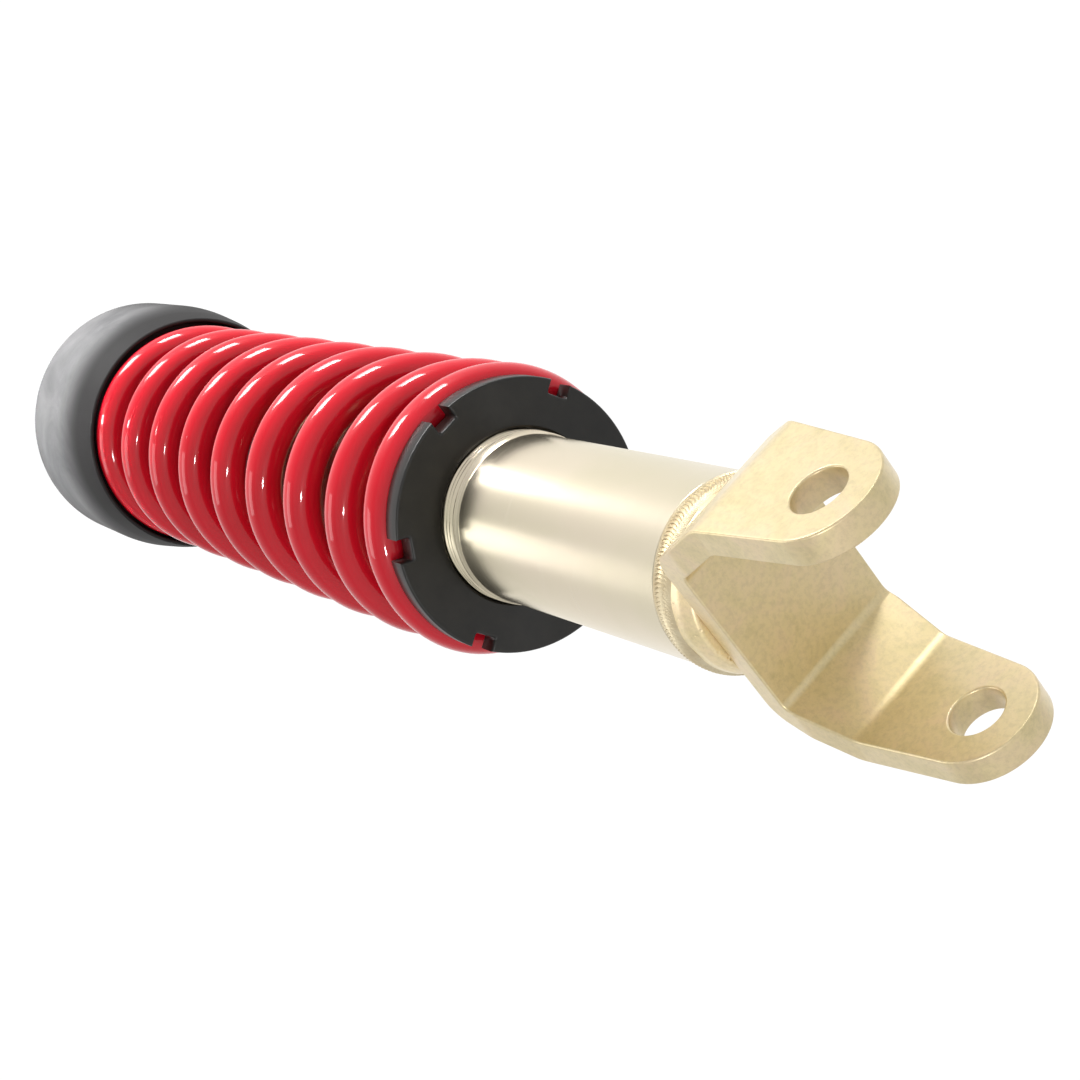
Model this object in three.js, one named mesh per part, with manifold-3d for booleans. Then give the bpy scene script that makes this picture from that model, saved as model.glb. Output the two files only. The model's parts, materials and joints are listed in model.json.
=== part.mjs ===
// A front coilover strut for a pickup truck: a clevis welded to a threaded twin-tube damper,
// an adjuster collar, a closed-end coil spring, and a rubber upper isolator on a stem mount.
//
// Frame: millimetres, +Z up along the damper's axis, X along the lower bolt, and the origin
// on the lower bolt's axis, midway between the two clevis ears.

import * as THREE from 'three';
import { mergeVertices } from 'three/addons/utils/BufferGeometryUtils.js';
import Module from 'manifold-3d';

const wasm = await Module();
wasm.setup();

// ---------------------------------------------------------------- driving dimensions

const GAP = 0.3;                 // clearance left between pieces that touch

// lower clevis, a bent steel strap
const STRAP_T = 8.5;             // strap thickness
const BOLT_R = 7.75;             // hole for an M14 bolt
const EAR_GAP = 70;              // between the ears' inner faces
const EAR_END_R = 17;            // round end of an ear
const EAR_ROOT_HALF = 19.7;      // half width of an ear where it is straight
const WEB_HALF = 22.4;           // half width of the web
const WEB_X = 24.9;              // half length of the web's inner face
const WEB_Z = 48.1;              // height of the web's inner face
const CREASE_Z = 29.1;           // height where the ears turn parallel
const BEND_IN = 3;               // inside bend radius at the web
const BEND_OUT = 9;              // outside bend radius at the web
const CREASE_IN = 8;             // bend radii where the ears turn parallel
const CREASE_OUT = 12;

// end plug and the bead that joins it to the tube, laid in a groove and almost flush
const PLUG_R = 26.9;
const PLUG_FOOT_R = 24.6;        // where the plug stands on the clevis
const PLUG_FOOT_H = 4;           // height of its tapered foot
const GROOVE_R = 24.9;           // floor of the groove under the bead
const GROOVE_Z0 = 64.7;          // lower side of the groove
const BEAD_R = 28.3;             // crown of the bead
const SPIGOT_H = 8;              // height of the plug inside the tube

// body tube and collar
const TUBE_R = 27.5;
const TUBE_BORE = 24.9;
const TUBE_Z0 = 71.3;            // lower end of the tube, at the bead
const TUBE_Z1 = 400;             // upper end of the tube
const THREAD_R = 28.5;
const THREAD_ROOT = 27.6;
const THREAD_PITCH = 2;
const THREAD_Z0 = 184.1;
const THREAD_Z1 = 276;
const COLLAR_Z = 191.1;          // underside of the collar
const FLANGE_R = 45.6;
const FLANGE_T = 8;
const HUB_R = 34.5;
const HUB_H = 19;
const NOTCHES = 6;
const NOTCH_W = 7.5;
const NOTCH_DEPTH = 4.9;
const SCREW_R = 2.5;             // grub screw in the collar's hub
const SCREW_H = 12;              // its height above the flange

// coil spring, left-hand wound with closed ends
const WIRE_R = 6.75;
const COIL_R = 42.5;
const ACTIVE_TURNS = 7.83;
const CLOSED_TURNS = 0.75;
const SPRING_RISE = 283;         // between the two closed coils' centres
const COIL_START = 350;          // degrees, where the lower closed coil's tip lies

// damper internals
const CYL_R = 19.5;              // pressure tube outside
const CYL_BORE = 18;
const ROD_R = 10;
const SHANK_R = 5;
const STUD_R = 6.85;
const PISTON_Z = 220;            // underside of the piston at rest
const PISTON_T = 14;
const BASE_Z = TUBE_Z0 + SPIGOT_H;     // top of the end plug, where the base valve stands
const PORT_CIRCLE = 11;
const PORT_R = 1.6;
const GUIDE_Z = 376;             // height of the rod guide's step
const SEAL_Z = 391.3;
const CAP_Z = 397.7;             // underside of the end cap

// upper mount
const ISO_R = 57;
const ISO_LIP_R = 50.5;          // inside of the isolator's lip, around the last coil
const ISO_Z0 = 488.5;            // edge of the lip
const ISO_Z1 = 566.2;
const HAT_R = 39.9;              // steel perch inside the isolator
const HAT_T = 3.6;
const STEM_TOP = 608;
const DUST_Z = 345;              // lower end of the dust tube
const PLATE_GAP = 5.6;           // room for the spring tower's plate between the bushings
const BUSH_H = 12;               // height of the upper bushing over the plate
const WASHER_T = 2.6;

const COLLAR_TOP = COLLAR_Z + FLANGE_T;
const SPRING_Z0 = COLLAR_TOP + GAP + WIRE_R;
const SPRING_Z1 = SPRING_Z0 + SPRING_RISE;
const SEAT_Z = SPRING_Z1 + WIRE_R + GAP;
const HAT_Z0 = SEAT_Z + 7.3;
const CROWN_Z = ISO_Z1 - 9.3;    // top face of the perch's crown
const CROWN_UNDER = CROWN_Z - HAT_T - GAP;
const LOWER_BUSH_Z = CROWN_Z + GAP;
const PLATE_Z = ISO_Z1 + 0.2;
const WASHER_Z = PLATE_Z + PLATE_GAP + BUSH_H + GAP;
const NUT_Z = WASHER_Z + WASHER_T + GAP;

const FINE = 36;                 // segments round a turned piece
const MEDIUM = 24;
const COARSE = 16;

// ---------------------------------------------------------------- solids

// One closed mesh from a geometry: shared vertices merged, collapsed triangles dropped, faces out.
function closed(geometry) {
  geometry.deleteAttribute('normal');
  geometry.deleteAttribute('uv');
  const merged = mergeVertices(geometry, 1e-4);
  const p = merged.getAttribute('position');
  const index = [];
  let volume = 0;
  for (let i = 0; i < merged.index.count; i += 3) {
    const [a, b, c] = [0, 1, 2].map((k) => merged.index.getX(i + k));
    if (a !== b && b !== c && a !== c) {
      index.push(a, b, c);
      const [va, vb, vc] = [a, b, c].map((k) => new THREE.Vector3().fromBufferAttribute(p, k));
      volume += va.dot(vb.cross(vc));
    }
  }
  merged.setIndex(volume < 0 ? index.reverse() : index);
  return merged;
}

function toManifold(geometry) {
  const solid = closed(geometry);
  return new wasm.Manifold(new wasm.Mesh({
    numProp: 3,
    vertProperties: new Float32Array(solid.getAttribute('position').array),
    triVerts: new Uint32Array(solid.index.array),
  }));
}

function fromManifold(manifold) {
  const mesh = manifold.getMesh();
  const geometry = new THREE.BufferGeometry();
  geometry.setAttribute('position', new THREE.BufferAttribute(mesh.vertProperties, 3));
  geometry.setIndex(new THREE.BufferAttribute(mesh.triVerts, 1));
  return geometry;
}

// body minus each of the tools
function cut(body, tools) {
  return fromManifold(tools.reduce((rest, tool) => rest.subtract(toManifold(tool)), toManifold(body)));
}

// Solid of revolution about Z from [radius, height] points.
function turned(points, segments) {
  const profile = points.map(([r, z]) => new THREE.Vector2(r, z));
  return closed(new THREE.LatheGeometry(profile, segments).rotateX(Math.PI / 2));
}

// Turned ring whose [radius, height] outline closes on itself.
function ringOf(points, segments) {
  return turned([...points, points[0]], segments);
}

// Plain ring with a square section.
function ring(inner, outer, z0, z1, segments) {
  return ringOf([[inner, z0], [outer, z0], [outer, z1], [inner, z1]], segments);
}

// Arc in a profile, from angle a0 to a1 in degrees, about [cr, cz].
function arc(cr, cz, radius, a0, a1, steps) {
  return Array.from({ length: steps + 1 }, (_, i) => {
    const a = THREE.MathUtils.degToRad(a0 + ((a1 - a0) * i) / steps);
    return [cr + radius * Math.cos(a), cz + radius * Math.sin(a)];
  });
}

function drill(radius, length, segments = COARSE) {
  return new THREE.CylinderGeometry(radius, radius, length, segments);
}

// Hexagonal nut about Z, with a round bore.
function hexNut(acrossFlats, bore, z0, height) {
  const shape = new THREE.Shape();
  for (let i = 0; i < 6; i += 1) {
    const a = (i * Math.PI) / 3;
    const r = acrossFlats / Math.sqrt(3);
    shape[i === 0 ? 'moveTo' : 'lineTo'](r * Math.cos(a), r * Math.sin(a));
  }
  shape.closePath();
  const hole = new THREE.Path();
  hole.absarc(0, 0, bore, 0, 2 * Math.PI, true);
  shape.holes.push(hole);
  const nut = new THREE.ExtrudeGeometry(shape, { depth: height, bevelEnabled: false, curveSegments: 10 });
  return closed(nut.translate(0, 0, z0));
}

// Ports drilled through a disc on a circle, parallel to Z.
function ports(count, circleR, portR, z, length) {
  return Array.from({ length: count }, (_, i) => {
    const a = (i * 2 * Math.PI) / count;
    return drill(portR, length, 8)
      .rotateX(Math.PI / 2)
      .translate(circleR * Math.cos(a), circleR * Math.sin(a), z);
  });
}

// ---------------------------------------------------------------- lower end

// Corner of an outline rounded with a radius, as a curve on a shape.
function roundedLine(shape, points, radii) {
  shape.moveTo(...points[0]);
  for (let i = 1; i < points.length - 1; i += 1) {
    const here = new THREE.Vector2(...points[i]);
    const back = new THREE.Vector2(...points[i - 1]).sub(here).normalize();
    const ahead = new THREE.Vector2(...points[i + 1]).sub(here).normalize();
    const half = Math.acos(THREE.MathUtils.clamp(back.dot(ahead), -1, 1)) / 2;
    const reach = radii[i] / Math.tan(half);
    const start = here.clone().addScaledVector(back, reach);
    const end = here.clone().addScaledVector(ahead, reach);
    shape.lineTo(start.x, start.y);
    shape.quadraticCurveTo(here.x, here.y, end.x, end.y);
  }
  shape.lineTo(...points[points.length - 1]);
}

// The strap seen along Y: a channel whose ears step outward before they turn parallel.
function clevisSection() {
  const earX = EAR_GAP / 2;
  const flare = Math.atan2(earX - WEB_X, WEB_Z - CREASE_Z);
  const outX = earX + STRAP_T;
  const outCreaseZ = CREASE_Z + STRAP_T * Math.tan(flare / 2);
  const cornerX = WEB_X + STRAP_T * Math.tan((Math.PI / 2 - flare) / 2);
  const tip = -EAR_END_R - 2;
  const shape = new THREE.Shape();
  const inner = [
    [-earX, tip], [-earX, CREASE_Z], [-WEB_X, WEB_Z],
    [WEB_X, WEB_Z], [earX, CREASE_Z], [earX, tip],
  ];
  const outer = [
    [outX, tip], [outX, outCreaseZ], [cornerX, WEB_Z + STRAP_T],
    [-cornerX, WEB_Z + STRAP_T], [-outX, outCreaseZ], [-outX, tip],
  ];
  const inside = [0, CREASE_IN, BEND_IN, BEND_IN, CREASE_IN, 0];
  const outside = [0, CREASE_OUT, BEND_OUT, BEND_OUT, CREASE_OUT, 0];
  roundedLine(shape, [...inner, ...outer], [...inside, ...outside]);
  return shape;
}

// The strap seen along X: full width at the web, tapering to the round ends.
function clevisOutline() {
  const top = WEB_Z + STRAP_T + 1;
  const lean = Math.asin((EAR_ROOT_HALF - EAR_END_R) / CREASE_Z);
  const shape = new THREE.Shape();
  shape.moveTo(-WEB_HALF, top);
  shape.lineTo(-WEB_HALF, WEB_Z - 2);
  shape.lineTo(-EAR_ROOT_HALF, CREASE_Z);
  shape.absarc(0, 0, EAR_END_R, Math.PI + lean, 2 * Math.PI - lean, false);
  shape.lineTo(EAR_ROOT_HALF, CREASE_Z);
  shape.lineTo(WEB_HALF, WEB_Z - 2);
  shape.lineTo(WEB_HALF, top);
  shape.closePath();
  return shape;
}

// An outline pulled out to a depth, half of it on each side of the outline's plane.
function slab(shape, depth, curveSegments) {
  return new THREE.ExtrudeGeometry(shape, { depth, curveSegments, bevelEnabled: false })
    .translate(0, 0, -depth / 2)
    .rotateX(Math.PI / 2);
}

function lowerClevis() {
  const section = slab(clevisSection(), 2 * WEB_HALF + 4, 5);
  const outline = slab(clevisOutline(), 2 * EAR_GAP, 16).rotateZ(Math.PI / 2);
  const bolt = drill(BOLT_R, 2 * EAR_GAP, 32).rotateZ(Math.PI / 2);
  const blank = toManifold(section).intersect(toManifold(outline));
  return fromManifold(blank.subtract(toManifold(bolt)));
}

// Boss that closes the tube: a tapered foot on the clevis, the groove's flank, and a spigot.
function endPlug() {
  const z0 = WEB_Z + STRAP_T + GAP;
  const spigotR = TUBE_BORE - GAP;
  return turned([
    [0, z0], [PLUG_FOOT_R, z0], [PLUG_R - 0.4, z0 + PLUG_FOOT_H], [PLUG_R, GROOVE_Z0],
    [spigotR, GROOVE_Z0 + PLUG_R - spigotR],
    [spigotR, BASE_Z - 1.5], [spigotR - 1.5, BASE_Z], [0, BASE_Z],
  ], MEDIUM);
}

// Weld bead in the groove between the plug and the tube, both of which have 45 degree flanks.
function clevisWeld() {
  const lowFlank = PLUG_R + GROOVE_Z0 + GAP * Math.SQRT2;
  const highFlank = TUBE_R - TUBE_Z0 + GAP * Math.SQRT2;
  const crown = 7.5;
  const toe = PLUG_R + GAP;
  const middle = (lowFlank - highFlank) / 2;
  return ringOf([
    [GROOVE_R, GROOVE_R - highFlank], [GROOVE_R, lowFlank - GROOVE_R], [toe, lowFlank - toe],
    ...arc(BEAD_R - crown, middle, crown, -28, 24, 4),
  ], FINE);
}

// ---------------------------------------------------------------- tube, collar, spring

function bodyTube() {
  const crests = Array.from({ length: 3 }, (_, i) => THREAD_Z0 + (i + 1) * THREAD_PITCH);
  const thread = crests.flatMap((z) => [
    [THREAD_R, z - 0.4], [THREAD_ROOT, z + 0.6], [THREAD_R, z + 1.6],
  ]);
  return ringOf([
    [TUBE_BORE, TUBE_Z0 - TUBE_R + TUBE_BORE], [TUBE_R, TUBE_Z0],
    [TUBE_R, THREAD_Z0 - 1], [THREAD_R, THREAD_Z0], ...thread,
    [THREAD_R, THREAD_Z1], [TUBE_R, THREAD_Z1 + 1],
    [TUBE_R, TUBE_Z1 - 1.5], [TUBE_R - 0.8, TUBE_Z1], [TUBE_BORE, TUBE_Z1],
  ], FINE);
}

function adjusterCollar() {
  const bore = THREAD_R + GAP;
  const blank = ringOf([
    [bore + 0.8, COLLAR_Z], [FLANGE_R - 1, COLLAR_Z], [FLANGE_R, COLLAR_Z + 1],
    [FLANGE_R, COLLAR_TOP - 0.8], [FLANGE_R - 0.8, COLLAR_TOP], [HUB_R, COLLAR_TOP],
    [HUB_R, COLLAR_TOP + HUB_H - 1.5], [HUB_R - 1.5, COLLAR_TOP + HUB_H],
    [bore, COLLAR_TOP + HUB_H], [bore, COLLAR_Z + 0.8],
  ], FINE);
  const notches = Array.from({ length: NOTCHES }, (_, i) => (
    new THREE.BoxGeometry(2 * NOTCH_DEPTH, NOTCH_W, 2 * FLANGE_T)
      .translate(FLANGE_R, 0, COLLAR_Z + FLANGE_T / 2)
      .rotateZ((i * 2 * Math.PI) / NOTCHES)
  ));
  const screwHole = drill(SCREW_R + GAP, SCREW_H, 12).translate(0, HUB_R, COLLAR_TOP + SCREW_H);
  return cut(blank, [...notches, screwHole]);
}

// Grub screw that locks the collar to the thread, on +Y, with a hexagonal socket.
function collarScrew() {
  const length = 4.6;
  const middle = THREAD_R + GAP + 0.4 + length / 2;
  const screw = drill(SCREW_R, length, 12).translate(0, middle, COLLAR_TOP + SCREW_H);
  const socket = drill(1.4, 4, 6).translate(0, HUB_R, COLLAR_TOP + SCREW_H);
  return cut(screw, [socket]);
}

// Turns climbed x turns after the start of a slope, which eases in over a sixth of a turn.
function ramp(x) {
  const ease = 0.08;
  if (x <= -ease) return 0;
  return x >= ease ? x : ((x + ease) ** 2) / (4 * ease);
}

// Centre line of the wire: flat over each closed end, with an even climb between.
class CoilPath extends THREE.Curve {
  getPoint(t, target = new THREE.Vector3()) {
    const turns = t * (ACTIVE_TURNS + 2 * CLOSED_TURNS);
    const climbed = ramp(turns - CLOSED_TURNS) - ramp(turns - CLOSED_TURNS - ACTIVE_TURNS);
    const z = SPRING_Z0 + (SPRING_RISE * climbed) / ACTIVE_TURNS;
    const a = THREE.MathUtils.degToRad(COIL_START) - 2 * Math.PI * turns;
    return target.set(COIL_R * Math.cos(a), COIL_R * Math.sin(a), z);
  }
}

function coilSpring() {
  const path = new CoilPath();
  path.arcLengthDivisions = 2000;
  const wire = new THREE.Shape();
  wire.absarc(0, 0, WIRE_R, 0, 2 * Math.PI, false);
  const turns = ACTIVE_TURNS + 2 * CLOSED_TURNS;
  return closed(new THREE.ExtrudeGeometry(wire, {
    steps: Math.round(20 * turns), curveSegments: 4, bevelEnabled: false, extrudePath: path,
  }));
}

// ---------------------------------------------------------------- damper internals

function pressureTube() {
  return ring(CYL_BORE, CYL_R, BASE_Z + 9.5, GUIDE_Z + 2, MEDIUM);
}

function baseValve() {
  const foot = BASE_Z + GAP;
  const blank = ringOf([
    [3.3, foot + 3], [15, foot + 3], [15, foot], [23, foot], [23, foot + 4], [CYL_R, foot + 8.9],
    [CYL_BORE - GAP, foot + 8.9], [CYL_BORE - GAP, foot + 15], [3.3, foot + 15],
  ], MEDIUM);
  return cut(blank, ports(6, PORT_CIRCLE, PORT_R, foot + 9, 20));
}

function baseValveShims() {
  return ring(3.3, 14, BASE_Z + 15.6, BASE_Z + 16.6, COARSE);
}

function baseValveBolt() {
  const head = BASE_Z + 16.9;
  return turned([
    [0, BASE_Z + 2], [3, BASE_Z + 2], [3, head], [5.5, head], [5.5, head + 3.6], [0, head + 3.6],
  ], COARSE);
}

// Rod with a thin shank through the piston and a threaded stem through the mount.
function pistonRod() {
  const foot = PISTON_Z - 13;
  const shoulder = PISTON_Z + PISTON_T + 3;
  return turned([
    [0, foot], [SHANK_R - 0.7, foot], [SHANK_R, foot + 0.7],
    [SHANK_R, shoulder], [ROD_R - 0.5, shoulder], [ROD_R, shoulder + 0.5],
    [ROD_R, CROWN_UNDER - 0.5], [ROD_R - 0.5, CROWN_UNDER],
    [STUD_R, CROWN_UNDER], [STUD_R, STEM_TOP - 1], [STUD_R - 1, STEM_TOP], [0, STEM_TOP],
  ], MEDIUM);
}

function piston() {
  const bore = SHANK_R + GAP;
  const outer = CYL_BORE - 0.4;
  const groove = outer - 1.1;
  const land = 3.5;
  const top = PISTON_Z + PISTON_T;
  const blank = ringOf([
    [bore, PISTON_Z], [outer, PISTON_Z], [outer, PISTON_Z + land], [groove, PISTON_Z + land],
    [groove, top - land], [outer, top - land], [outer, top], [bore, top],
  ], MEDIUM);
  return cut(blank, ports(8, PORT_CIRCLE, PORT_R, PISTON_Z + PISTON_T / 2, 20));
}

function pistonBand() {
  const land = 3.8;
  return ring(CYL_BORE - 1.2, CYL_BORE - GAP, PISTON_Z + land, PISTON_Z + PISTON_T - land, MEDIUM);
}

function rodGuide() {
  const bore = ROD_R + 2.3;
  return ringOf([
    [bore, GUIDE_Z - 5], [CYL_BORE - GAP, GUIDE_Z - 5], [CYL_BORE - GAP, GUIDE_Z + 2.3],
    [TUBE_BORE - GAP, GUIDE_Z + 2.3], [TUBE_BORE - GAP, GUIDE_Z + 15], [bore, GUIDE_Z + 15],
  ], MEDIUM);
}

function rodSeal() {
  const outer = TUBE_BORE - 0.6;
  const top = CAP_Z - GAP;
  return ringOf([
    [ROD_R + GAP, SEAL_Z], [outer, SEAL_Z], [outer, SEAL_Z + 3.7], [15, top], [ROD_R + GAP, top],
  ], COARSE);
}

// Gland cap that closes the tube, with a rim that rests on its end.
function endCap() {
  const bore = ROD_R + 0.6;
  const rim = TUBE_Z1 + GAP;
  const top = TUBE_Z1 + 5.2;
  return ringOf([
    [bore, CAP_Z], [TUBE_BORE - GAP, CAP_Z], [TUBE_BORE - GAP, rim], [TUBE_R, rim],
    [TUBE_R, top - 1.5], [TUBE_R - 1.5, top], [15, top], [13.5, top + 1.6], [bore, top + 1.6],
  ], MEDIUM);
}

// ---------------------------------------------------------------- upper mount

// Urethane bump stop: three bulges that narrow downward, hung on the rod under the perch.
function bumpStop() {
  const top = CROWN_UNDER - 2.9;
  const bulges = [[24, 7], [22.5, 7], [20.5, 6]];
  const outline = [];
  let z = top;
  for (const [radius, half] of bulges) {
    outline.push([radius - 2.6, z], ...arc(radius - 4, z - half, 4, 50, -50, 2));
    z -= 2 * half;
  }
  outline.push([16, z - 0.5], [13, z - 2.5], [ROD_R + GAP, z - 2.5], [ROD_R + GAP, top]);
  return ringOf(outline, MEDIUM);
}

function bumpCup() {
  const bore = ROD_R + GAP;
  const top = CROWN_UNDER - GAP;
  return ringOf([
    [bore, top - 2.1], [24.6, top - 2.1], [24.6, top - 8.7], [26.6, top - 8.7], [26.6, top], [bore, top],
  ], MEDIUM);
}

// Rigid dust tube that hangs from the perch over the body tube.
function dustTube() {
  const inner = 29.8;
  const wall = 31.2;
  const hem = 31.8;
  const flange = 34.5;
  return ringOf([
    [inner, DUST_Z], [hem, DUST_Z], [hem, DUST_Z + 5], [wall, DUST_Z + 5.6],
    [wall, CROWN_UNDER - 3], [flange, CROWN_UNDER - 3], [flange, CROWN_UNDER], [inner, CROWN_UNDER],
  ], MEDIUM);
}

// Pressed top hat: the flange takes the spring's load and the crown bolts to the rod.
function upperPerch() {
  const flangeTop = HAT_Z0 + 3;
  const wall = HAT_R - HAT_T;
  return ringOf([
    [wall, HAT_Z0], [51.7, HAT_Z0], [51.7, flangeTop], [HAT_R, flangeTop],
    [HAT_R, CROWN_Z - 2], [HAT_R - 2, CROWN_Z], [STUD_R + GAP, CROWN_Z],
    [STUD_R + GAP, CROWN_Z - HAT_T], [wall, CROWN_Z - HAT_T],
  ], FINE);
}

// Rubber cup: a tapering lip wraps the last coil and the body sleeves the steel perch.
function upperIsolator() {
  const slot = HAT_Z0 - GAP;
  const slotTop = HAT_Z0 + 3 + GAP;
  const inner = HAT_R + GAP;
  const crown = 4;
  return ringOf([
    [ISO_LIP_R, SEAT_Z], [ISO_LIP_R, ISO_Z0 + 1.5], [ISO_LIP_R + 1, ISO_Z0],
    [ISO_LIP_R + 1.9, ISO_Z0 + 1.5], [ISO_LIP_R + 4, ISO_Z0 + 14], [ISO_R - 0.8, ISO_Z0 + 29],
    [ISO_R, ISO_Z0 + 42], ...arc(ISO_R - crown, ISO_Z1 - crown, crown, 0, 90, 3),
    [inner, ISO_Z1], [inner, slotTop], [52, slotTop], [52, slot], [36.4, slot], [36.4, SEAT_Z],
  ], FINE);
}

// Chassis bushings: the tower's plate is clamped between them, around the step on the upper one.
function lowerBushing() {
  return ringOf([
    [9.5, LOWER_BUSH_Z], [21, LOWER_BUSH_Z], ...arc(22, LOWER_BUSH_Z + 4.4, 4, -50, 50, 3),
    [21, PLATE_Z], [9.5, PLATE_Z],
  ], MEDIUM);
}

function upperBushing() {
  const z = PLATE_Z + PLATE_GAP;
  return ringOf([
    [9.5, PLATE_Z + GAP], [12, PLATE_Z + GAP], [12, z], [21, z],
    ...arc(21.5, z + BUSH_H / 2, 5, -50, 50, 3), [21, z + BUSH_H], [9.5, z + BUSH_H],
  ], MEDIUM);
}

function stemSleeve() {
  return ring(STUD_R + GAP, 9.2, LOWER_BUSH_Z, PLATE_Z + PLATE_GAP + BUSH_H, COARSE);
}

// Washer whose rim is dished down over the bushing.
function stemWasher() {
  const bore = STUD_R + GAP;
  const seat = 21.6;
  const rim = 24.4;
  const top = WASHER_Z + WASHER_T;
  return ringOf([
    [bore, WASHER_Z], [seat, WASHER_Z], [rim, WASHER_Z - 1.2], [rim, top - 1.2], [seat, top], [bore, top],
  ], MEDIUM);
}

// ---------------------------------------------------------------- assembly

const FINISH = {
  zinc: { color: 0xd8c692, roughness: 0.42, metalness: 0.9 },
  tube: { color: 0xd9cda6, roughness: 0.3, metalness: 0.95 },
  anodised: { color: 0x1d1c1a, roughness: 0.4, metalness: 0.6 },
  redCoat: { color: 0xc4121f, roughness: 0.18, metalness: 0.0 },
  rubber: { color: 0x1a1a1a, roughness: 0.75, metalness: 0.0 },
  urethane: { color: 0xd9c65a, roughness: 0.85, metalness: 0.0 },
  plastic: { color: 0x141414, roughness: 0.5, metalness: 0.0 },
  steel: { color: 0x9a9a98, roughness: 0.35, metalness: 0.95 },
  chrome: { color: 0xd6d8da, roughness: 0.08, metalness: 1.0 },
  blackSteel: { color: 0x2a2a2c, roughness: 0.5, metalness: 0.7 },
};

const coilover = new THREE.Group();

function add(name, geometry, finish) {
  const mesh = new THREE.Mesh(geometry, new THREE.MeshStandardMaterial(FINISH[finish]));
  mesh.name = name;
  coilover.add(mesh);
}

add('lower_clevis', lowerClevis(), 'zinc');
add('end_plug', endPlug(), 'zinc');
add('clevis_weld', clevisWeld(), 'zinc');
add('body_tube', bodyTube(), 'tube');

add('adjuster_collar', adjusterCollar(), 'anodised');
add('collar_screw', collarScrew(), 'blackSteel');
add('coil_spring', coilSpring(), 'redCoat');

add('pressure_tube', pressureTube(), 'steel');
add('base_valve', baseValve(), 'steel');
add('base_valve_shims', baseValveShims(), 'steel');
add('base_valve_bolt', baseValveBolt(), 'steel');
add('rod_guide', rodGuide(), 'steel');
add('rod_bushing', ring(ROD_R + GAP, ROD_R + 2, GUIDE_Z - 5, SEAL_Z - GAP, COARSE), 'steel');
add('rod_seal', rodSeal(), 'rubber');
add('end_cap', endCap(), 'blackSteel');

add('piston_rod', pistonRod(), 'chrome');
add('piston', piston(), 'steel');
add('piston_band', pistonBand(), 'plastic');
const pistonTop = PISTON_Z + PISTON_T;
add('rebound_shims', ring(SHANK_R + GAP, 14.5, PISTON_Z - 1.9, PISTON_Z - GAP, COARSE), 'steel');
add('compression_shims', ring(SHANK_R + GAP, 13.5, pistonTop + GAP, pistonTop + 2.7, COARSE), 'steel');
add('piston_nut', hexNut(17, SHANK_R + GAP, PISTON_Z - 9.5, 7.3), 'steel');
add('rebound_bumper', ring(ROD_R + GAP, 15.5, pistonTop + 6, pistonTop + 20, COARSE), 'rubber');

add('bump_stop', bumpStop(), 'urethane');
add('bump_cup', bumpCup(), 'blackSteel');
add('dust_tube', dustTube(), 'plastic');
add('upper_perch', upperPerch(), 'blackSteel');
add('upper_isolator', upperIsolator(), 'rubber');
add('stem_sleeve', stemSleeve(), 'steel');
add('lower_bushing', lowerBushing(), 'rubber');
add('upper_bushing', upperBushing(), 'rubber');
add('stem_washer', stemWasher(), 'steel');
add('stem_nut', hexNut(22, STUD_R + GAP, NUT_Z, 12), 'steel');

export default coilover;
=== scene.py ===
"""A front coilover strut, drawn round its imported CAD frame.

Lengths are in metres and the frame is the CAD part's: +Z up along the damper, X along the lower
bolt, and the origin on the bolt's axis. Each visible CAD solid is replaced by a finer mesh of the
same size, and the pieces inside the damper keep their CAD meshes with better materials.
"""

import json
import math

import bmesh
import bpy
from mathutils import Matrix, Vector, noise


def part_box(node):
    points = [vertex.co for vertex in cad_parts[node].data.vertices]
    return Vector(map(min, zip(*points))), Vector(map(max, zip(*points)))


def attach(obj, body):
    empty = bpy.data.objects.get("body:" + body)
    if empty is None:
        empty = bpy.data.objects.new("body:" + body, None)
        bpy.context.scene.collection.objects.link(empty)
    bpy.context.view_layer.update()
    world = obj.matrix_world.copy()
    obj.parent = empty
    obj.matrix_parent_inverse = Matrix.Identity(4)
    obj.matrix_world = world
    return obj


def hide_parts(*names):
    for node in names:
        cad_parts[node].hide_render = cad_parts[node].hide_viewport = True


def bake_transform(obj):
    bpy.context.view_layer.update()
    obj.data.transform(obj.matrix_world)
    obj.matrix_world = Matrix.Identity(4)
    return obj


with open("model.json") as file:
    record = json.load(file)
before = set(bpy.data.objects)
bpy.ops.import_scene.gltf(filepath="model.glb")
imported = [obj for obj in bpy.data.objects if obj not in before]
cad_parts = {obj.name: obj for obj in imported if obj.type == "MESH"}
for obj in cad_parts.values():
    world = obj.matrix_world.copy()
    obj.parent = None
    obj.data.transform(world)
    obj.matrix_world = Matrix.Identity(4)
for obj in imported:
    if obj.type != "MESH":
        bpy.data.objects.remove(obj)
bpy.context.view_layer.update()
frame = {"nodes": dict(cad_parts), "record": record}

MM = 0.001
TAU = 2 * math.pi

# Details that the frame's boxes don't give. GAP is the space left where two pieces meet.
GAP = 0.3 * MM
WIRE_R = 6.75 * MM
COIL_R = 42.5 * MM
ACTIVE_TURNS = 7.83
CLOSED_TURNS = 0.75
COIL_START = math.radians(350)
STRAP_T = 8.5 * MM
EAR_END_R = 17 * MM
EAR_ROOT_HALF = 19.7 * MM
CREASE_Z = 29.1 * MM
WEB_X = 24.9 * MM
BOLT_R = 7.75 * MM
PLUG_SPIGOT_R = 24.6 * MM
PLUG_FOOT_R = 24.6 * MM
PLUG_FOOT_H = 4 * MM
GROOVE_Z0 = 64.7 * MM
TUBE_BORE_R = 24.9 * MM
TUBE_BEVEL = 2.6 * MM
THREAD_Z0 = 184.1 * MM
THREAD_Z1 = 276 * MM
THREAD_PITCH = 2 * MM
THREAD_DEPTH = 1.0 * MM
FLANGE_T = 8 * MM
HUB_R = 34.5 * MM
NOTCHES = 6
NOTCH_W = 7.5 * MM
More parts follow.
